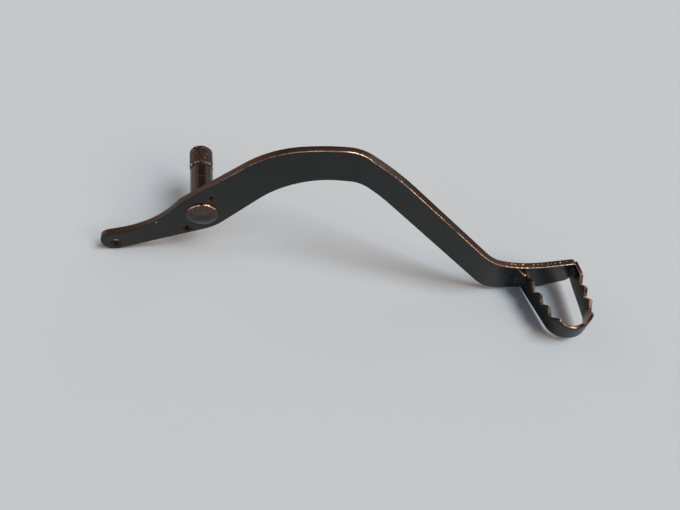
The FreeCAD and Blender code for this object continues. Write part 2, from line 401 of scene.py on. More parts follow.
@dataclass(frozen=True)
class ShearedEdge:
    """Wear of the arm's cut edges, laid out across the sheet as a punch leaves them, with painted light on
    them: a copper line on the rolled front edge that is mostly a painted highlight, a brown burnished band
    that is partly a painted warm reflection, and a darker torn band at the back. Millimetres; nicks are
    places on the row where the paint is chipped, shown as painted glints."""

    bend_r: float = 20.0
    bend_deg: float = 32.0
    bend_start: float = 92.0
    bands: tuple[tuple[float, float], ...] = (  # share of the sheet behind its front, and wear with painted highlight there
        (0.0, 0.0), (0.02, 0.0), (0.03, 0.98), (0.115, 0.98), (0.15, 0.35), (0.19, 0.26), (0.5, 0.34),
        (0.62, 0.16), (0.93, 0.08), (0.97, 0.0), (1.0, 0.0))
    patch_mm: float = 14.0  # length of sound and worn stretches along an edge
    patch_at: tuple[float, float] = (0.3, 0.7)  # their noise where wear is least and most
    patch_wear: tuple[float, float] = (0.6, 1.2)  # and the wear there, as a share of the band's
    nose_x: float = -60.0  # the nose, where the wear and the painted highlight are weakest
    toe_x: float = 70.0  # from here to the toe a boot rubs the edges and the painted highlight is full
    nose_share: float = 0.3  # share of the wear and of the painted highlight that is left at the nose
    # chipped paint, shown as painted glints: bright bare spots on the edge
    nicks_and_glints: tuple[tuple[float, float, float], ...] = (
        (93.5, -7.0, 50.4), (25.2, -4.4, 41.9), (-27.3, -4.5, -7.1))
    nick_r: float = 0.9
    nick_core: float = 0.3  # share of that radius which is all bare

    def near_bend(self, tree: bpy.types.NodeTree, x: Link, y: Link, centre: np.ndarray, side: int,
                  radius: float) -> Link:
        """Distance behind the front face at one bend and on the flats before and after it.

        The way from the bend's line to the point is turned no further than the bend itself
        turns, and the point's distance along that way is set against the face's radius.

        Args:
            tree: node tree that gets the nodes.
            x: place along the blank, in millimetres.
            y: place across the sheet, in millimetres.
            centre: the bend's line in the plan.
            side: 1 where the line lies in front of the sheet, -1 where it lies behind.
            radius: the line to the front face.

        Returns:
            The link that gives the distance.
        """
        dx, dy = (add_node(tree, "Math", {"operation": "MULTIPLY_ADD"}, {0: link, 1: side, 2: -side * middle})
                  for link, middle in zip((x, y), centre.tolist()))
        angle = add_node(tree, "Math", {"operation": "ARCTAN2"}, {0: (dx, "Value"), 1: (dy, "Value")})
        turn = add_node(tree, "Clamp", None, {
            "Value": (angle, "Value"), "Min": 0.0, "Max": math.radians(self.bend_deg)})
        sin, cos = (add_node(tree, "Math", {"operation": kind}, {0: (turn, "Result")})
                    for kind in ("SINE", "COSINE"))
        part = add_node(tree, "Math", {"operation": "MULTIPLY"}, {0: (dx, "Value"), 1: (sin, "Value")})
        reach = add_node(tree, "Math", {"operation": "MULTIPLY_ADD"}, {
            0: (dy, "Value"), 1: (cos, "Value"), 2: (part, "Value")})
        behind = add_node(tree, "Math", {"operation": "MULTIPLY_ADD"}, {
            0: (reach, "Value"), 1: side, 2: -side * radius})
        return (behind, "Value")

    def depth(self, tree: bpy.types.NodeTree) -> Link:
        """Distance behind the front face of the bent sheet, in millimetres.

        The first bend, which turns about a line in front of the sheet, counts up to the middle
        of the ramp, and the second, which turns about a line behind it, counts from there on.

        Args:
            tree: node tree that gets the nodes.

        Returns:
            The link that gives the distance.
        """
        bend = math.radians(self.bend_deg)
        thick_r = self.bend_r + PLATE_T
        apart = self.bend_r + thick_r
        first = np.array([self.bend_start, -thick_r])
        drop = float(node_points("lever_arm")[:, 1].min()) + thick_r - first[1]
        run = (apart * math.cos(bend) - drop) / math.sin(bend)
        second = first + np.array([apart * math.sin(bend) + run * math.cos(bend), drop])
        place = add_node(tree, "TexCoord")
        x, y = ((add_node(tree, "VectorMath", {"operation": "DOT_PRODUCT"}, {
            0: (place, "Object"), 1: (tilted_to_row(heading) / MM).tolist()}), "Value")
            for heading in np.eye(3)[:2])
        before = self.near_bend(tree, x, y, first, 1, self.bend_r)
        after = self.near_bend(tree, x, y, second, -1, thick_r)
        past = add_node(tree, "Math", {"operation": "GREATER_THAN"}, {
            0: x, 1: float(first[0] + second[0]) / 2})
        step = add_node(tree, "Math", {"operation": "SUBTRACT"}, {0: after, 1: before})
        whole = add_node(tree, "Math", {"operation": "MULTIPLY_ADD"}, {
            0: (past, "Value"), 1: (step, "Value"), 2: before})
        return (whole, "Value")

    def rub_and_highlight(self, tree: bpy.types.NodeTree) -> Link:
        """Wear and painted highlight across the sheet, patchy along the edge, with chips as bright glints at
        the nicks.

        Args:
            tree: node tree that gets the nodes.

        Returns:
            The link that gives wear and painted highlight, 0 to 1.
        """
        place = add_node(tree, "TexCoord")
        share = add_node(tree, "Math", {"operation": "DIVIDE"}, {0: self.depth(tree), 1: PLATE_T})
        band = add_node(tree, "ValToRGB", {"stops": self.bands}, {"Fac": (share, "Value")})
        along = add_node(tree, "TexNoise", None, {
            "Vector": (place, "Object"), "Scale": per_mm(self.patch_mm), "Detail": 3.0, "Roughness": 0.6})
        patchy = add_node(tree, "MapRange", None, {
            "Value": (along, "Fac"), "From Min": self.patch_at[0], "From Max": self.patch_at[1],
            "To Min": self.patch_wear[0], "To Max": self.patch_wear[1]})
        parts = add_node(tree, "SeparateXYZ", None, {0: (place, "Object")})
        toward_toe = add_node(tree, "MapRange", None, {
            "Value": (parts, "X"), "From Min": self.nose_x * MM, "From Max": self.toe_x * MM,
            "To Min": self.nose_share, "To Max": 1.0})
        amount = add_node(tree, "Math", {"operation": "MULTIPLY"}, {
            0: (toward_toe, "Result"), 1: (patchy, "Result")})
        worn = add_node(tree, "Math", {"operation": "MULTIPLY"}, {0: (band, "Color"), 1: (amount, "Value")})
        for nick in self.nicks_and_glints:
            far = add_node(tree, "VectorMath", {"operation": "DISTANCE"}, {
                0: (place, "Object"), 1: [c * MM for c in nick]})
            chip = add_node(tree, "MapRange", {"interpolation_type": "SMOOTHSTEP"}, {
                "Value": (far, "Value"), "From Min": self.nick_r * MM,
                "From Max": self.nick_core * self.nick_r * MM, "To Min": 0.0, "To Max": 1.0})
            worn = add_node(tree, "Math", {"operation": "MAXIMUM"}, {0: (worn, "Value"), 1: (chip, "Result")})
        return (worn, "Value")


@dataclass
class LeverArm:
    """Arm blanked from sheet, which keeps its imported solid."""

    node: str = "lever_arm"

    def dress(self, finish: bpy.types.Material) -> None:
        """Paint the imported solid.

        Args:
            finish: the arm's paint.
        """
        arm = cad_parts[self.node]
        arm.data.materials.clear()
        arm.data.materials.append(finish)
        log.info("%s: packed solid, painted", self.node)


@dataclass
class ShearBurr:
    """Torn burr that stands along the sheared top edge of the toe, near its back, its tall specks rubbed
    bright as painted glints. Millimetres, in the blank's tilted axes."""

    start: float = 181.0
    end: float = 227.0
    fade: float = 5.0  # run over which it grows and dies away
    edge_break: float = 0.4  # broken edge of the toe's back face
    on_edge: float = 0.03  # how near that edge a packed vertex lies to count as on it
    inset: float = 1.5  # back face to the middle of the burr
    waver: float = 0.18  # how far its line wavers
    slant: float = 0.4  # how far its line nears the front face along its run
    half_width: float = 0.4
    height: float = 0.42
    least_height: float = 0.06  # between the specks
    tallest: float = 1.6  # noise at which a speck is as tall as it gets
    pitch: float = 1.7
    sunk: float = 0.06
    step: float = 0.12
    around: int = 16

    def shell(self) -> Shell:
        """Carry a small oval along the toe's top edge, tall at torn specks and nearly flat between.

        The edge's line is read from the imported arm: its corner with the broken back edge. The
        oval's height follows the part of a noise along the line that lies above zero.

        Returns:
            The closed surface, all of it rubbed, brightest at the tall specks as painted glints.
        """
        arm = row_to_tilted(node_points("lever_arm"))
        back = float(arm[:, 1].min()) + PLATE_T
        on_line = np.abs(arm[:, 1] - (back - self.edge_break)) < self.on_edge
        middle = (arm[on_line & (arm[:, 0] > self.start), 2].max() + arm[:, 2].min()) / 2
        upper = arm[on_line & (arm[:, 0] > self.start - 4) & (arm[:, 2] > middle)]
        upper = upper[np.argsort(upper[:, 0])]
        x = np.arange(self.start, self.end, self.step)
        z = np.interp(x, upper[:, 0], upper[:, 2])
        slope = np.arctan(np.gradient(z, x))
        line = np.stack([x, np.full_like(x, back - self.inset), z], axis=-1)
        ends = ease(x, self.start, self.start + self.fade) * (1 - ease(x, self.end - self.fade, self.end))
        specks = np.clip(wave_noise(line, self.pitch, 51) - 0.2, 0.0, self.tallest) * ends
        drift = self.waver * wave_noise(line, 9.0, 52) - self.slant * ease(x, self.start, self.end)
        turn = np.linspace(0.0, 2 * math.pi, self.around, endpoint=False)
        wide = self.half_width * (0.35 + 0.5 * specks)[:, None] * np.cos(turn)
        height = self.least_height + self.height * specks / self.tallest
        tall = height[:, None] * np.sin(turn) - self.sunk
        rings = np.stack([x[:, None] - np.sin(slope)[:, None] * tall,
                          line[:, 1:2] + drift[:, None] + wide,
                          z[:, None] + np.cos(slope)[:, None] * tall], axis=-1)
        # painted glints: the tall specks get the most wear, which turns them bright
        wear = (0.2 + 0.9 * specks)[:, None] * np.ones_like(turn)
        return Shell.from_rings(tilted_to_row(rings), wear)

    def dress(self, finish: bpy.types.Material) -> None:
        """Build the burr on the arm."""
        settle(self.shell().to_object("toe_edge_burr", finish, 80.0), Slot.ARM)


@dataclass
class PivotShaft:
    """Turned pivot shaft, riveted through the arm: a spun head in front, a glossy shank behind, a
    retaining groove and a rough free end. Millimetres; its length and head are read from its node."""

    shank_r: float = 7.0
    spigot_r: float = 5.5
    head_rim: float = 0.7
    dome_power: float = 2.4  # the head falls with this power of the radius
    dimple_r: float = 4.4
    dimple_depth: float = 0.6
    dent_depth: float = 0.05  # wide dents of the head
    rim_waver: float = 0.03
    rim_bulge: float = 0.14  # how far the spun rim stands past the dome's edge
    rim_tuck: float = 0.1  # how far it is drawn in where it meets the arm
    groove_in: float = 14.8  # the free end to the groove's outer lip
    groove_w: float = 1.5
    groove_depth: float = 0.7
    lip_chip: float = 0.16  # depth of the chips on the outer lip
    end_r: float = 1.6
    end_swell: float = 0.18  # the rough end stands this far over the shank
    end_grain: float = 0.05  # depth of each of its two sizes of grain
    pit_spot: tuple[float, float, float] = (-3.6, 1.9, 6.0)  # way across, in from the end, way up
    pit_r: float = 0.75
    pit_depth: float = 0.75
    brim_r: float = 1.35
    brim_w: float = 0.4
    brim_height: float = 0.12
    corner_r: float = 0.35
    step: float = 0.19  # spacing of the rings
    around: int = 212
    head_top_reflection: float = 0.5  # painted reflection: the head's upper half is made browner
    # chipped paint and a painted highlight on the rim's upper arc
    rim_wear_and_glint: float = 0.65
    rim_patch: float = 0.4  # how far chips change it
    near_wear: float = 0.2  # the groove's inner lip
    lip_wear_and_glint: float = 0.5  # its outer lip, chipped, with painted glints
    end_wear: float = 0.08
    end_patch: tuple[float, float] = (0.14, 0.18)  # how far the coarse and the fine grain change it
    # the pit's raised brim: wear and a lighter painted highlight
    brim_wear_and_highlight: float = 0.5

    def __post_init__(self) -> None:
        """Read the shaft's reach, the head's radius and its height."""
        points = node_points("pivot_shaft")
        self.reach = float(points[:, 1].max())
        self.head_r = float(np.hypot(points[:, 0], points[:, 2]).max())
        self.head_h = -PLATE_T - float(points[:, 1].min())
        self.groove_far = self.reach - self.groove_in

    def profile(self) -> np.ndarray:
        """Half outline of the shaft from the head's middle to the free end's middle.

        The head's height over its rim falls with a power of the radius and has a bell taken out
        of its middle, the free end is a quarter circle, and the rest is straight runs. All is
        then spaced evenly.

        Returns:
            Array (n, 2) of radius and place along the axis.
        """
        front = -PLATE_T
        across = np.linspace(0.002, 1.0, 70)
        rise = (self.head_h - self.head_rim) * (1 - across ** self.dome_power)
        rise -= self.dimple_depth * bell(across * self.head_r, 0.0, self.dimple_r)
        dome = np.stack([across * self.head_r, front - self.head_rim - rise], axis=-1)
        far = self.groove_far
        near = far - self.groove_w
        deep = self.shank_r - self.groove_depth
        c = self.corner_r
        swing = np.linspace(0.0, math.pi / 2, 14)
        end = np.stack([self.shank_r - self.end_r * (1 - np.cos(swing)),
                        self.reach - self.end_r * (1 - np.sin(swing))], axis=-1)
        runs = np.array([
            (self.head_r + self.rim_bulge, front - self.head_rim / 2), (self.head_r - self.rim_tuck, front),
            (self.spigot_r, front), (self.spigot_r, 0.0), (self.shank_r, 0.0),
            (self.shank_r, near - c), (self.shank_r - c / 3, near), (deep, near + c / 3),
            (deep, far - c / 3), (self.shank_r - c / 3, far), (self.shank_r, far + c),
        ])
        tip = np.array([(0.02, self.reach)])
        return spaced(np.concatenate([dome, runs, end, tip]), self.step)

    def shell(self) -> Shell:
        """Turn the profile about Y and roughen it along its normals.

        The head is dented by wide waves and its rim chipped by short ones, the free end is
        swollen and roughened by two sizes of fine waves, the groove's outer lip is chipped,
        and one round pit is pressed in near the free end.

        Returns:
            The closed surface, with wear on the head's rim, the groove's lips and the end, painted highlights
            and glints on the rim's upper arc, the outer lip and the pit's brim, painted shade in the pit, and
            a painted reflection on the head's upper half.
        """
        radius, along = self.profile().T
        turn = np.linspace(0.0, 2 * math.pi, self.around, endpoint=False)
        slope = np.stack([np.gradient(radius), np.gradient(along)], axis=-1)
        slope /= np.linalg.norm(slope, axis=1, keepdims=True)
        cos, sin = np.cos(turn), np.sin(turn)
        flat = np.ones_like(turn)
        rings = np.stack([radius[:, None] * cos, along[:, None] * flat, radius[:, None] * sin], axis=-1)
        normals = np.stack([slope[:, 1:] * cos, -slope[:, :1] * flat, slope[:, 1:] * sin], axis=-1)
        far = self.groove_far
        head = (1 - ease(along, -PLATE_T - 0.2, -PLATE_T))[:, None]
        rough = ease(along, far - 0.1, far + 0.6)[:, None]
        rim = bell(radius, self.head_r, 0.6)[:, None] * head
        lip = bell(along, far + 0.25, 0.4)[:, None]
        coarse, fine = wave_noise(rings, 2.4, 11), wave_noise(rings, 0.9, 12)
        chips = wave_noise(rings, 2.2, 15)
        pit, brim = self.pit(rings)
        lift = rough * (self.end_swell + self.end_grain * coarse + self.end_grain * fine)
        lift += (head * self.dent_depth * wave_noise(rings, 5.0, 13)
                 + rim * self.rim_waver * wave_noise(rings, 3.2, 14))
        lift += lip * self.lip_chip * chips + self.brim_height * brim - self.pit_depth * pit
        rings = rings + normals * lift[..., None]
        near_lip = bell(along, far - self.groove_w, 0.3)[:, None]
        # painted light: the head's upper half and its rim's upper arc get more of the brown and bright
        # colours
        upper = ease(rings[..., 2], -1.0, 6.0)
        top = ease(rings[..., 2], 0.3 * self.head_r, 0.9 * self.head_r)
        wear = (rim * top * (self.rim_wear_and_glint + self.rim_patch * chips) + self.near_wear * near_lip
                + lip * (self.lip_wear_and_glint + self.lip_wear_and_glint * chips))
        grainy = self.end_wear + self.end_patch[0] * coarse + self.end_patch[1] * fine
        # painted shade: the pit's wear is taken away, so it stays darker than the ground round it
        wear += rough * grainy + self.brim_wear_and_highlight * brim - pit
        wear += self.head_top_reflection * head * upper
        return Shell.from_rings(rings, wear)

    def pit(self, points: np.ndarray) -> tuple[np.ndarray, np.ndarray]:
        """Work out the pit near the free end, a bell about its spot, and the brim raised round it.

        Args:
            points: array (..., 3) on the shaft.

        Returns:
            Shares of the pit's depth and of the brim's height.
        """
        across, inward, up = self.pit_spot
        on_shank = self.shank_r / math.hypot(across, up)
        spot = np.array([across * on_shank, self.reach - inward, up * on_shank])
        away = np.linalg.norm(points - spot, axis=-1)
        return bell(away, 0.0, self.pit_r), bell(away, self.brim_r, self.brim_w)

    def dress(self, finish: bpy.types.Material) -> None:
        """Build the piece and set it in place of its solid."""
        settle(self.shell().to_object("shaft_surface", finish, 70.0), Slot.SHAFT, "pivot_shaft")


@dataclass(frozen=True)
class ShaftPaint:
    """Gloss black paint on a turned shaft, with old grease: mirror-like on the shank, brown and
    speckled where the rough free end shows through it. Millimetres."""

    rough_from: float  # the groove's outer lip
    name: str = "gloss_paint_on_turned_steel"
    paint: str = "#120e0c"  # sound paint, a little brown from grease
    grease_and_reflection: str = "#553424"  # grease and undercoat on rough ground, and the painted reflection on the head's upper half
    speck_and_glint: str = "#e6c4a4"  # bare bright grains, and painted glints on the head's rim and the groove's lip
    shank_gloss: float = 0.19  # near a mirror: the lamps show as soft streaks along the shank
    end_gloss: float = 0.40  # rough end: a soft sheen with glints
    shank_sheen: float = 0.5  # full strength of a paint's reflection
    end_sheen: float = 0.3  # dirt in the pores weakens it
    ring_at: float = 20.0  # faint ring that a bush has left round the shank
    ring_half: float = 0.16
    ring_share: float = 0.08
    speck_size: float = 0.8  # grains, drawn coarse enough to show
    speck_depth: float = 0.12
    speck_at: tuple[float, float] = (0.61, 0.69)  # grain noise where bright metal begins and is full
    rubbed_at: tuple[float, float] = (0.6, 1.0)  # wear where bright metal and painted glints begin and are full
    open_share: float = 0.7  # share of the rough end's grains that show with no wear on them
    shank_grain: float = 0.03  # share of the grains' depth on the shank
    end_grain: float = 0.9  # and what the rough end has over it
    ior: float = 1.5

    def shade(self) -> bpy.types.Material:
        """Build the paint, parted along Y into the shank and the rough end.

        Returns:
            The finished material.
        """
        material = bpy.data.materials.new(self.name)
        material.use_nodes = True
        tree = material.node_tree
        shader = tree.nodes["Principled BSDF"]
        place = add_node(tree, "TexCoord")
        parts = add_node(tree, "SeparateXYZ", None, {0: (place, "Object")})
        rough_end = add_node(tree, "MapRange", {"interpolation_type": "SMOOTHSTEP"}, {
            "Value": (parts, "Y"), "From Min": self.rough_from * MM, "From Max": (self.rough_from + 1) * MM,
            "To Min": 0.0, "To Max": 1.0})
        wear = add_node(tree, "Attribute", {"attribute_name": "wear"})
        specks = add_node(tree, "TexNoise", None, {
            "Vector": (place, "Object"), "Scale": per_mm(self.speck_size), "Detail": 3.0, "Roughness": 0.7})
        bright = add_node(tree, "MapRange", {"interpolation_type": "SMOOTHSTEP"}, {
            "Value": (specks, "Fac"), "From Min": self.speck_at[0], "From Max": self.speck_at[1],
            "To Min": 0.0, "To Max": 1.0})
        open_ground = add_node(tree, "Math", {"operation": "MULTIPLY_ADD", "use_clamp": True}, {
            0: (rough_end, "Result"), 1: self.open_share, 2: (wear, "Fac")})
        worn = add_node(tree, "Math", {"operation": "MULTIPLY"}, {
            0: (open_ground, "Value"), 1: (bright, "Result")})
        # grease, and a painted reflection on the head where the wear is high
        greasy_and_reflection = add_node(tree, "Mix", {"data_type": "RGBA"}, {
            "Factor": (wear, "Fac"), "A": to_linear(self.paint), "B": to_linear(self.grease_and_reflection)})
        ring = add_node(tree, "Math", {"operation": "COMPARE"}, {
            0: (parts, "Y"), 1: self.ring_at * MM, 2: self.ring_half * MM})
        # bright metal and painted glints where the wear is high
        rubbed_and_reflection = add_node(tree, "MapRange", {"interpolation_type": "SMOOTHSTEP"}, {
            "Value": (wear, "Fac"), "From Min": self.rubbed_at[0], "From Max": self.rubbed_at[1],
            "To Min": 0.0, "To Max": 1.0})
        bright_ring = add_node(tree, "Math", {"operation": "MULTIPLY_ADD", "use_clamp": True}, {
            0: (ring, "Value"), 1: self.ring_share, 2: (rubbed_and_reflection, "Result")})
        bare_and_highlight = add_node(tree, "Math", {"operation": "MAXIMUM"}, {
            0: (bright_ring, "Value"), 1: (worn, "Value")})
        colour = add_node(tree, "Mix", {"data_type": "RGBA"}, {
            "Factor": (bare_and_highlight, "Value"), "A": (greasy_and_reflection, "Result"), "B": to_linear(self.speck_and_glint)})
        rough = add_node(tree, "MapRange", None, {
            "Value": (rough_end, "Result"), "To Min": self.shank_gloss, "To Max": self.end_gloss})
        sheen = add_node(tree, "MapRange", None, {
            "Value": (rough_end, "Result"), "To Min": self.shank_sheen, "To Max": self.end_sheen})
        amount = add_node(tree, "Math", {"operation": "MULTIPLY_ADD"}, {
            0: (rough_end, "Result"), 1: self.end_grain, 2: self.shank_grain})
        grain = add_node(tree, "Bump", None, {
            "Strength": (amount, "Value"), "Distance": self.speck_depth * MM, "Height": (specks, "Fac")})
        tree.links.new(colour.outputs["Result"], shader.inputs["Base Color"])
        tree.links.new(bare_and_highlight.outputs["Value"], shader.inputs["Metallic"])
        tree.links.new(rough.outputs["Result"], shader.inputs["Roughness"])
        tree.links.new(sheen.outputs["Result"], shader.inputs["Specular IOR Level"])
        tree.links.new(grain.outputs["Normal"], shader.inputs["Normal"])
        shader.inputs["IOR"].default_value = self.ior
        return material


@dataclass
class TreadLoop:
    """Toothed strip bent into a loop and welded to the toe. Millimetres; its place is read from
    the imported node, in the blank's tilted axes."""

    strip_t: float = 2.5
    width: float = 34.4
    reach: float = 41.6
    back_slant: float = 11.7
    front_slant: float = 4.4
    root_h: float = 16.6
    tip_h: float = 18.2
    valley_h: float = 11.5
    bow_h: float = 13.2
    first_tip: float = 6.6
    pitch: float = 9.6
    fall: float = 4.15
    teeth: int = 4
    top_r: float = 0.85  # rounding of the sawn upper edge
    low_r: float = 0.5  # rounding of the rolled lower edge
    tip_r: float = 0.28
    step: float = 0.2
    waver: float = 0.03  # how far the strip strays from its line
    waver_size: float = 7.0
    corner_points: int = 8  # points round each corner of the section
    side_points: int = 7  # points between two corners on each side of it
    patch_share: float = 0.25  # how far patches change the wear
    patch_size: float = 6.0
    top_wear: float = 0.1  # rub all along the top edge
    # rub on the teeth, with painted glints at the tips and notches and a painted highlight before each fall
    tip_wear_and_glint: float = 0.3
    fall_wear_and_highlight: float = 0.55
    notch_wear_and_glint: float = 0.5
    # painted highlight: a broad brown sheen along the bow's top
    bow_highlight: float = 0.36
    # painted highlight: a bright line across the back leg's top near the toe
    root_highlight: float = 0.8
    corner_highlight: float = 1.3  # painted highlight: bright line on the inner corner
    corner_at: float = 0.9  # its place round the corner, in radians from the side
    corner_w: float = 0.25
    outer_share: float = 0.25  # share of that line on the outer corner
    crown_at: tuple[float, float] = (0.6, 1.4)  # where round a corner the top's rub begins and is full

    def __post_init__(self) -> None:
        """Read the loop's place: its lower edge, its front end and the toe's face."""
        tilted = row_to_tilted(node_points("tread_loop"))
        self.sole = float(tilted[:, 2].min())
        self.toe_end = float(tilted[:, 0].max()) - self.strip_t
        self.toe_face = float(tilted[:, 1].min()) + self.reach
        self.lap_end = float(tilted[:, 1].max())
        self.back_root = self.toe_end - self.width

    def path(self) -> tuple[np.ndarray, np.ndarray]:
        """Middle line of the strip in the plan, and its outward normals.

        A straight back leg, an arc that touches both legs and the line of the reach, a
        straight front leg and the short lap beside the toe's end, spaced evenly.

        Returns:
            Arrays (n, 2) of points and of unit normals.
        """
        back, front = math.radians(self.back_slant), math.radians(self.front_slant)
        front_root = self.toe_end + self.strip_t / math.cos(front)
        line = front_root - self.back_root - self.reach * (math.tan(back) + math.tan(front))
        back_run = 1 / math.tan(math.pi / 4 + back / 2)
        front_run = 1 / math.tan(math.pi / 4 + front / 2)
        outside = line / (back_run + front_run)
        centre = np.array([self.back_root + self.reach * math.tan(back) + outside * back_run,
                           self.toe_face - self.reach + outside])
        middle = outside - self.strip_t / 2
        swing = np.linspace(math.pi + back, 2 * math.pi - front, 160)
        arc = centre + middle * np.stack([np.cos(swing), np.sin(swing)], axis=-1)
        back_end = (arc[0, 0] - math.tan(back) * (self.toe_face - arc[0, 1]), self.toe_face)
        lap_x = self.toe_end + self.strip_t / 2
        knee = (lap_x, self.toe_face - self.strip_t / 2 * math.tan(front / 2))
        points = spaced(np.concatenate([[back_end], arc, [knee], [(lap_x, self.lap_end)]]), self.step)
        along = np.gradient(points, axis=0)
        along /= np.linalg.norm(along, axis=1, keepdims=True)
        return points, np.stack([along[:, 1], -along[:, 0]], axis=-1)

    def saw(self, depth: np.ndarray) -> np.ndarray:
        """Work out the saw line: rising flanks, steep falls and a last fall over the bow, with tips
        and notches rounded by a running mean.

        Args:
            depth: array (n) of distances outside the toe's face.

        Returns:
            Array (n) of the strip's heights there.
        """
        tips = self.first_tip + self.pitch * np.arange(self.teeth)
        teeth = np.stack([tips, tips + self.fall], axis=-1).ravel()[:-1]
        places = np.concatenate([[-20.0, 0.0], teeth, [self.reach]])
        levels = np.tile([self.tip_h, self.valley_h], self.teeth)[:-1]
        heights = np.concatenate([[self.root_h, self.root_h], levels, [self.bow_h]])
        shifts = np.linspace(-self.tip_r, self.tip_r, 9)
        return np.interp(depth[:, None] + shifts, places, heights).mean(axis=1)

    def shell(self) -> Shell:
        """Carry a rounded section along the path, its top edge following the saw line.

        The section runs round from the outer side over the top to the inner side and back
        underneath; each of its points is a share of the strip's height plus a fixed lift.

        Returns:
            The closed surface, with wear and painted highlights on the top edge and most on its corners and
            tips.
        """
        middle, outward = self.path()
        height = self.saw(self.toe_face - middle[:, 1])
        half = self.strip_t / 2
        quarter = np.linspace(0.0, math.pi / 2, self.corner_points)
        flat = np.linspace(0.0, 1.0, self.side_points + 2)[1:-1]
        pair, face = np.ones(2 * self.corner_points), np.ones(self.side_points)
        cos, sin = np.cos(quarter), np.sin(quarter)
        top, low = self.top_r, self.low_r
        side = np.concatenate([half - top * (1 - cos), -(half - top * (1 - cos))[::-1], -half * face,
                               -(half - low * (1 - cos)), (half - low * (1 - cos))[::-1], half * face])
        share = np.concatenate([pair, 1 - flat, 0 * pair, flat])
        lift = np.concatenate([-top * (1 - sin), -top * (1 - sin)[::-1], low * flat - top * (1 - flat),
                               low * (1 - sin), low * (1 - sin)[::-1], low * (1 - flat) - top * flat])
        below = np.zeros(len(side) - len(pair))
        line, on_top = bell(quarter, self.corner_at, self.corner_w), ease(quarter, *self.crown_at)
        corner = np.concatenate([self.outer_share * line, line[::-1], below])
        crown = np.concatenate([on_top, on_top[::-1], below])
        across = middle[:, None, :] + outward[:, None, :] * side[None, :, None]
        up = self.sole + height[:, None] * share + lift
        rings = tilted_to_row(np.concatenate([across, up[..., None]], axis=-1))
        # Shares of rub and painted highlight, in millimetres of height or of distance outside the toe's face:
        # the last of a tooth below its tip, a steep drop just ahead, the floor of a notch, all but the lap,
        # the bow, and the back leg's root.
        out = (self.toe_face - middle[:, 1])[:, None]
        tips = ease(height, self.tip_h - 1.2, self.tip_h - 0.2)[:, None]
        falls = ease(height - self.saw(out[:, 0] + 0.8), 0.5, 1.2)[:, None]
        notches = ease(self.valley_h + 1.3 - height, 0.0, 0.9)[:, None]
        on_loop = ease(out, -2.5, -0.5)
        on_bow = ease(out, self.reach - 8.0, self.reach - 3.0)
        at_root = bell(out, 1.5, 2.0) * (middle[:, :1] < self.toe_end - self.width / 2)
        patchy = 1 + self.patch_share * wave_noise(rings, self.patch_size, 22)
        rub_and_highlight = (self.top_wear + self.tip_wear_and_glint * tips + self.fall_wear_and_highlight * falls + self.notch_wear_and_glint * notches
               + self.bow_highlight * on_bow + self.root_highlight * at_root)
        wear = (self.corner_highlight * corner + crown * rub_and_highlight) * on_loop * patchy
        stray = self.waver * wave_noise(rings, self.waver_size, 21)[..., None]
        rings = rings + stray * np.array([1.0, 0.3, 0.3])
        return Shell.from_rings(rings, wear)

    def dress(self, finish: bpy.types.Material) -> None:
        """Build the piece and set it in place of its solid."""
        settle(self.shell().to_object("tread_surface", finish, 60.0), Slot.TREAD, "tread_loop")


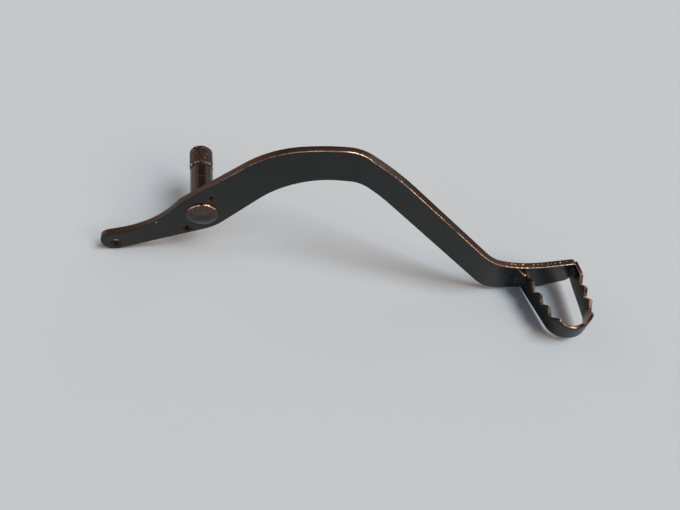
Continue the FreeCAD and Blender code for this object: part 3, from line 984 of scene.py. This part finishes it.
@dataclass
class WeldBead:
    """Fillet weld in the corner between the toe's face and one leg of the tread, with any spatter
    beside it. Millimetres, in the blank's tilted axes."""

    name: str
    node: str
    corner: tuple[float, float]  # place of the corner in the plan
    foot: float  # width on the toe
    leg: float  # width on the strip
    lean: float  # way of the strip from the toe, as an angle from -Y, in degrees
    low: float
    high: float  # top at the corner
    rise: float  # how far the top climbs from the corner to the foot
    seed: int
    spatter: tuple[tuple[float, float, float], ...] = ()  # behind the corner, height, radius
    ripple: float = 1.9  # spacing of the ripples
    uneven: float = 0.25  # share of the spacing by which they stray
    ripple_swell: float = 0.07  # how far each one swells the bead, as a share
    lumps: float = 0.03  # how far slow noise does
    crown: float = 0.5
    sunk: float = 0.35  # how far it reaches into the toe
    lap: float = 0.25  # how far it reaches into the strip
    slimmer: float = 0.6  # share by which the upper half is slimmer under a climbing top
    slim_run: float = 8.0
    ripple_wear: float = 0.12
    crest_highlight: float = 1.3  # painted highlight: bright line along the climbing top
    crest_at: float = 0.9  # its place, as a share of the face
    crest_w: float = 0.14
    row_count: int = 170
    face_points: int = 34
    drop_dent: float = 0.12  # dents of a spatter drop, as a share of its radius
    drop_flat: float = 0.45  # its height, as a share of its radius
    drop_wear: float = 0.15

    def shell(self) -> Shell:
        """Carry a swollen three-cornered section up the corner, with ripples and a climbing top.

        The outer face runs from the foot to the leg on a straight line that swells by the
        crown times the sine of its share. Above the strip only the share of the face is kept
        that lies under the climbing top, and it rounds off into the toe there. All is scaled
        about the corner by an end taper, a slimmer upper half under a climbing top, a saw of
        ripples and slow noise.

        Returns:
            The closed surface, with wear on its ripples and a painted highlight along its climbing top.
        """
        rows = np.linspace(0.0, 1.0, self.row_count)
        share = np.linspace(0.0, 1.0, self.face_points)
        lean = math.radians(self.lean)
        foot = np.array([-self.foot, 0.0])
        leg = self.leg * np.array([math.sin(lean), -math.cos(lean)])
        height = self.low + (self.high + self.rise - self.low) * rows
        climb = np.clip((height - self.high) / max(self.rise, 0.1), 0.0, 1.0)
        over = ease(height, self.high - 0.4, self.high + 0.4) * (1.0 if self.rise else 0.0)
        left = 1 - over * (1 - (1 - climb) * self.foot / (self.foot + leg[0]))
        out = np.array([leg[1], -self.foot - leg[0]])
        out /= math.copysign(np.linalg.norm(out), float(out @ (foot + leg)))
        reach = share[None, :] * np.maximum(left, 0.02)[:, None]
        swollen = self.crown * np.sin(math.pi * reach)
        face = foot + (leg - foot) * reach[..., None] + out * swollen[..., None]
        fade = 1 - over[:, None] * (1 - np.sqrt(1 - share[None, :] ** 5))
        face[..., 1] *= fade
        inner = np.stack([face[:, -1, 0] + self.lap * (1 - over), np.full_like(rows, self.sunk)], axis=-1)
        outer = np.stack([face[:, 0, 0], np.full_like(rows, self.sunk)], axis=-1)
        section = np.concatenate([face, inner[:, None], outer[:, None]], axis=1)
        spine = np.stack([np.zeros_like(rows), np.zeros_like(rows), height], axis=-1)
        beat = (height / self.ripple + self.uneven * wave_noise(spine, 6.0, self.seed)) % 1.0
        taper = np.sqrt(np.clip(1 - (1 - rows) ** 9 - 0.7 * rows ** 14, 0.02, 1.0))
        slim = 1 - (self.slimmer if self.rise else 0.0) * ease(height, self.high - self.slim_run, self.high)
        lumpy = self.lumps * wave_noise(spine, 4.5, self.seed + 1)
        swell = slim * taper * (0.96 + self.ripple_swell * np.sqrt(beat) + lumpy)
        plan = section * np.stack([np.ones_like(rows), swell], axis=-1)[:, None, :]
        tall = np.broadcast_to(height[:, None, None], (*section.shape[:2], 1))
        rings = np.concatenate([plan + np.array(self.corner), tall], axis=-1)
        crest = over[:, None] * bell(share, self.crest_at, self.crest_w)
        face_wear = self.ripple_wear * np.sin(math.pi * share) * beat[:, None] + self.crest_highlight * crest
        wear = np.concatenate([face_wear, np.zeros((len(rows), 2))], axis=1)
        bead = Shell.from_rings(tilted_to_row(rings), wear)
        for i, (behind, up, radius) in enumerate(self.spatter):
            place = (self.corner[0] - behind, self.corner[1], up)
            bead = bead.joined(self.drop(place, radius, self.seed + i))
        return bead

    def drop(self, place: tuple[float, float, float], radius: float, seed: int) -> Shell:
        """Make one frozen drop of spatter: a ball pressed flat on the toe's face and dented by noise.

        Args:
            place: its middle, in the blank's tilted axes.
            radius: the ball's radius.
            seed: number that fixes its dents.

        Returns:
            The closed surface.
        """
        polar = np.linspace(0.05, math.pi - 0.05, 18)[:, None]
        turn = np.linspace(0.0, 2 * math.pi, 28, endpoint=False)
        ball = np.stack([np.sin(polar) * np.cos(turn), np.cos(polar) * np.ones_like(turn),
                         np.sin(polar) * np.sin(turn)], axis=-1)
        dented = ball * (1 + self.drop_dent * wave_noise(ball * radius, 1.5 * radius, seed))[..., None]
        rings = np.array(place) + radius * dented * np.array([1.0, self.drop_flat, 1.0])
        return Shell.from_rings(tilted_to_row(rings), np.full(rings.shape[:2], self.drop_wear))

    def dress(self, finish: bpy.types.Material) -> None:
        """Build the bead and set it in place of its solid."""
        settle(self.shell().to_object(self.name, finish, 60.0), Slot.WELD, self.node)


@dataclass(frozen=True)
class Lamp:
    """Large soft lamp, far off: the way to it, its width as an angle in degrees, how strongly it
    lights a surface that faces it, and its colour."""

    name: str
    way: tuple[float, float, float]
    width_deg: float
    strength: float
    colour: str

    def hang(self) -> None:
        """Add the lamp to the scene, shining against its way."""
        data = bpy.data.lights.new(self.name, "SUN")
        data.angle = math.radians(self.width_deg)
        data.energy = self.strength
        data.color = to_linear(self.colour)[:3]
        lamp = bpy.data.objects.new(self.name, data)
        lamp.rotation_euler = Vector(self.way).to_track_quat("Z", "Y").to_euler()
        bpy.context.scene.collection.objects.link(lamp)


@dataclass(frozen=True)
class Studio:
    """Pale floor, soft lamps and the camera. Lengths in metres, angles in degrees."""

    floor_colour: str = "#c0d0de"
    floor_half: float = 20.0
    floor_rough: float = 0.9
    floor_sheen: float = 0.1
    surround: str = "#c4c6c8"
    wall_level: float = 1.0  # pale wall round the floor
    ceiling_level: float = 0.34  # dim ceiling
    wall_to: float = 0.12  # height of a unit way where the wall begins to turn into the ceiling
    ceiling_from: float = 0.38  # and where the ceiling begins
    lamps: tuple[Lamp, ...] = (
        Lamp("key_lamp", (0.60, -0.12, 1.10), 30.0, 2.15, "#fff6ec"),
        Lamp("edge_lamp", (0.62, -0.50, 0.62), 22.0, 0.83, "#ffd0a8"),
        Lamp("back_lamp", (-0.75, 0.60, 0.46), 46.0, 0.42, "#ffac74"),
        Lamp("far_lamp", (0.77, 0.58, 0.50), 30.0, 0.23, "#ffac74"),
    )
    eye: tuple[float, float, float] = (0.011833, -0.217674, 0.275757)
    azimuth: float = 20.76
    elevation: float = 55.18
    roll: float = 14.78
    focal_px: float = 560.0
    frame_px: float = 680.0
    sensor_mm: float = 36.0
    clip_start: float = 0.01

    def floor(self, level: float) -> None:
        """Lay a plain matt floor.

        Args:
            level: its height, the part's lowest point, in metres.
        """
        h = self.floor_half
        mesh = bpy.data.meshes.new("floor")
        mesh.from_pydata([(-h, -h, level), (h, -h, level), (h, h, level), (-h, h, level)], [], [(0, 1, 2, 3)])
        material = bpy.data.materials.new("matt_studio_floor")
        material.use_nodes = True
        shader = material.node_tree.nodes["Principled BSDF"]
        shader.inputs["Base Color"].default_value = to_linear(self.floor_colour)
        shader.inputs["Roughness"].default_value = self.floor_rough
        shader.inputs["Specular IOR Level"].default_value = self.floor_sheen
        mesh.materials.append(material)
        floor = bpy.data.objects.new("floor", mesh)
        bpy.context.scene.collection.objects.link(floor)

    def light(self) -> None:
        """Hang the lamps, and set pale walls round the floor under a dim ceiling."""
        world = bpy.data.worlds.new("surround")
        world.use_nodes = True
        tree = world.node_tree
        sky = tree.nodes["Background"]
        sky.inputs["Color"].default_value = to_linear(self.surround)
        way = add_node(tree, "SeparateXYZ", None, {0: (add_node(tree, "TexCoord"), "Object")})
        level = add_node(tree, "MapRange", {"interpolation_type": "SMOOTHSTEP"}, {
            "Value": (way, "Z"), "From Min": self.wall_to, "From Max": self.ceiling_from,
            "To Min": self.wall_level, "To Max": self.ceiling_level})
        tree.links.new(level.outputs["Result"], sky.inputs["Strength"])
        bpy.context.scene.world = world
        for lamp in self.lamps:
            lamp.hang()

    def camera(self) -> None:
        """Stand the camera where the view was taken from and point it along the view."""
        azimuth, elevation, roll = (math.radians(a) for a in (self.azimuth, self.elevation, self.roll))
        ahead = np.array([math.sin(azimuth) * math.cos(elevation), math.cos(azimuth) * math.cos(elevation),
                          -math.sin(elevation)])
        level = np.array([math.cos(azimuth), -math.sin(azimuth), 0.0])
        over = np.cross(level, ahead)
        right = math.cos(roll) * level + math.sin(roll) * over
        above = -math.sin(roll) * level + math.cos(roll) * over
        data = bpy.data.cameras.new("camera")
        data.sensor_width = self.sensor_mm
        data.lens = self.sensor_mm * self.focal_px / self.frame_px
        data.clip_start = self.clip_start
        camera = bpy.data.objects.new("camera", data)
        turn = Matrix(np.stack([right, above, -ahead], axis=-1).tolist()).to_4x4()
        camera.matrix_world = Matrix.Translation(self.eye) @ turn
        bpy.context.scene.collection.objects.link(camera)
        bpy.context.scene.camera = camera
        bpy.context.scene.view_settings.view_transform = "Standard"


def main() -> None:
    """Dress the pedal, log its pieces and set the studio."""
    logging.basicConfig(level=logging.INFO)
    LeverArm().dress(BlackPaint("semi_gloss_black_paint_on_sheet_steel").shade(ShearedEdge().rub_and_highlight))
    # the burr's bare colour is lighter still, for its painted glints
    ShearBurr().dress(BlackPaint("black_paint_on_torn_burr", bare_and_highlight="#ead6c2").shade(rub_and_highlight_from_attribute))
    shaft = PivotShaft()
    shaft.dress(ShaftPaint(rough_from=shaft.groove_far).shade())
    tread = TreadLoop()
    tread.dress(BlackPaint("semi_gloss_black_paint_on_strip_steel").shade(rub_and_highlight_from_attribute))
    weld_paint = BlackPaint("black_paint_on_weld_metal", gloss=0.34, dull=0.46,
                            peel_depth_mm=0.08).shade(rub_and_highlight_from_attribute)
    sole, root = tread.sole, tread.sole + tread.root_h
    WeldBead("back_weld_bead", "weld_back", corner=(tread.back_root, tread.toe_face), foot=7.0, leg=3.8,
             lean=tread.back_slant, low=sole + 3.0, high=root + 0.8, rise=9.0, seed=31,
             spatter=((11.6, sole + 23.4, 1.1), (8.2, sole + 10.6, 0.9))).dress(weld_paint)
    WeldBead("front_weld_bead", "weld_front", corner=(tread.toe_end, tread.toe_face), foot=3.2, leg=3.2,
             lean=-tread.front_slant, low=sole + 4.5, high=root - 1.6, rise=0.0, seed=41).dress(weld_paint)
    studio = Studio()
    studio.floor(CAD_BOX[0].z)
    studio.light()
    studio.camera()


if __name__ == "__main__":
    main()
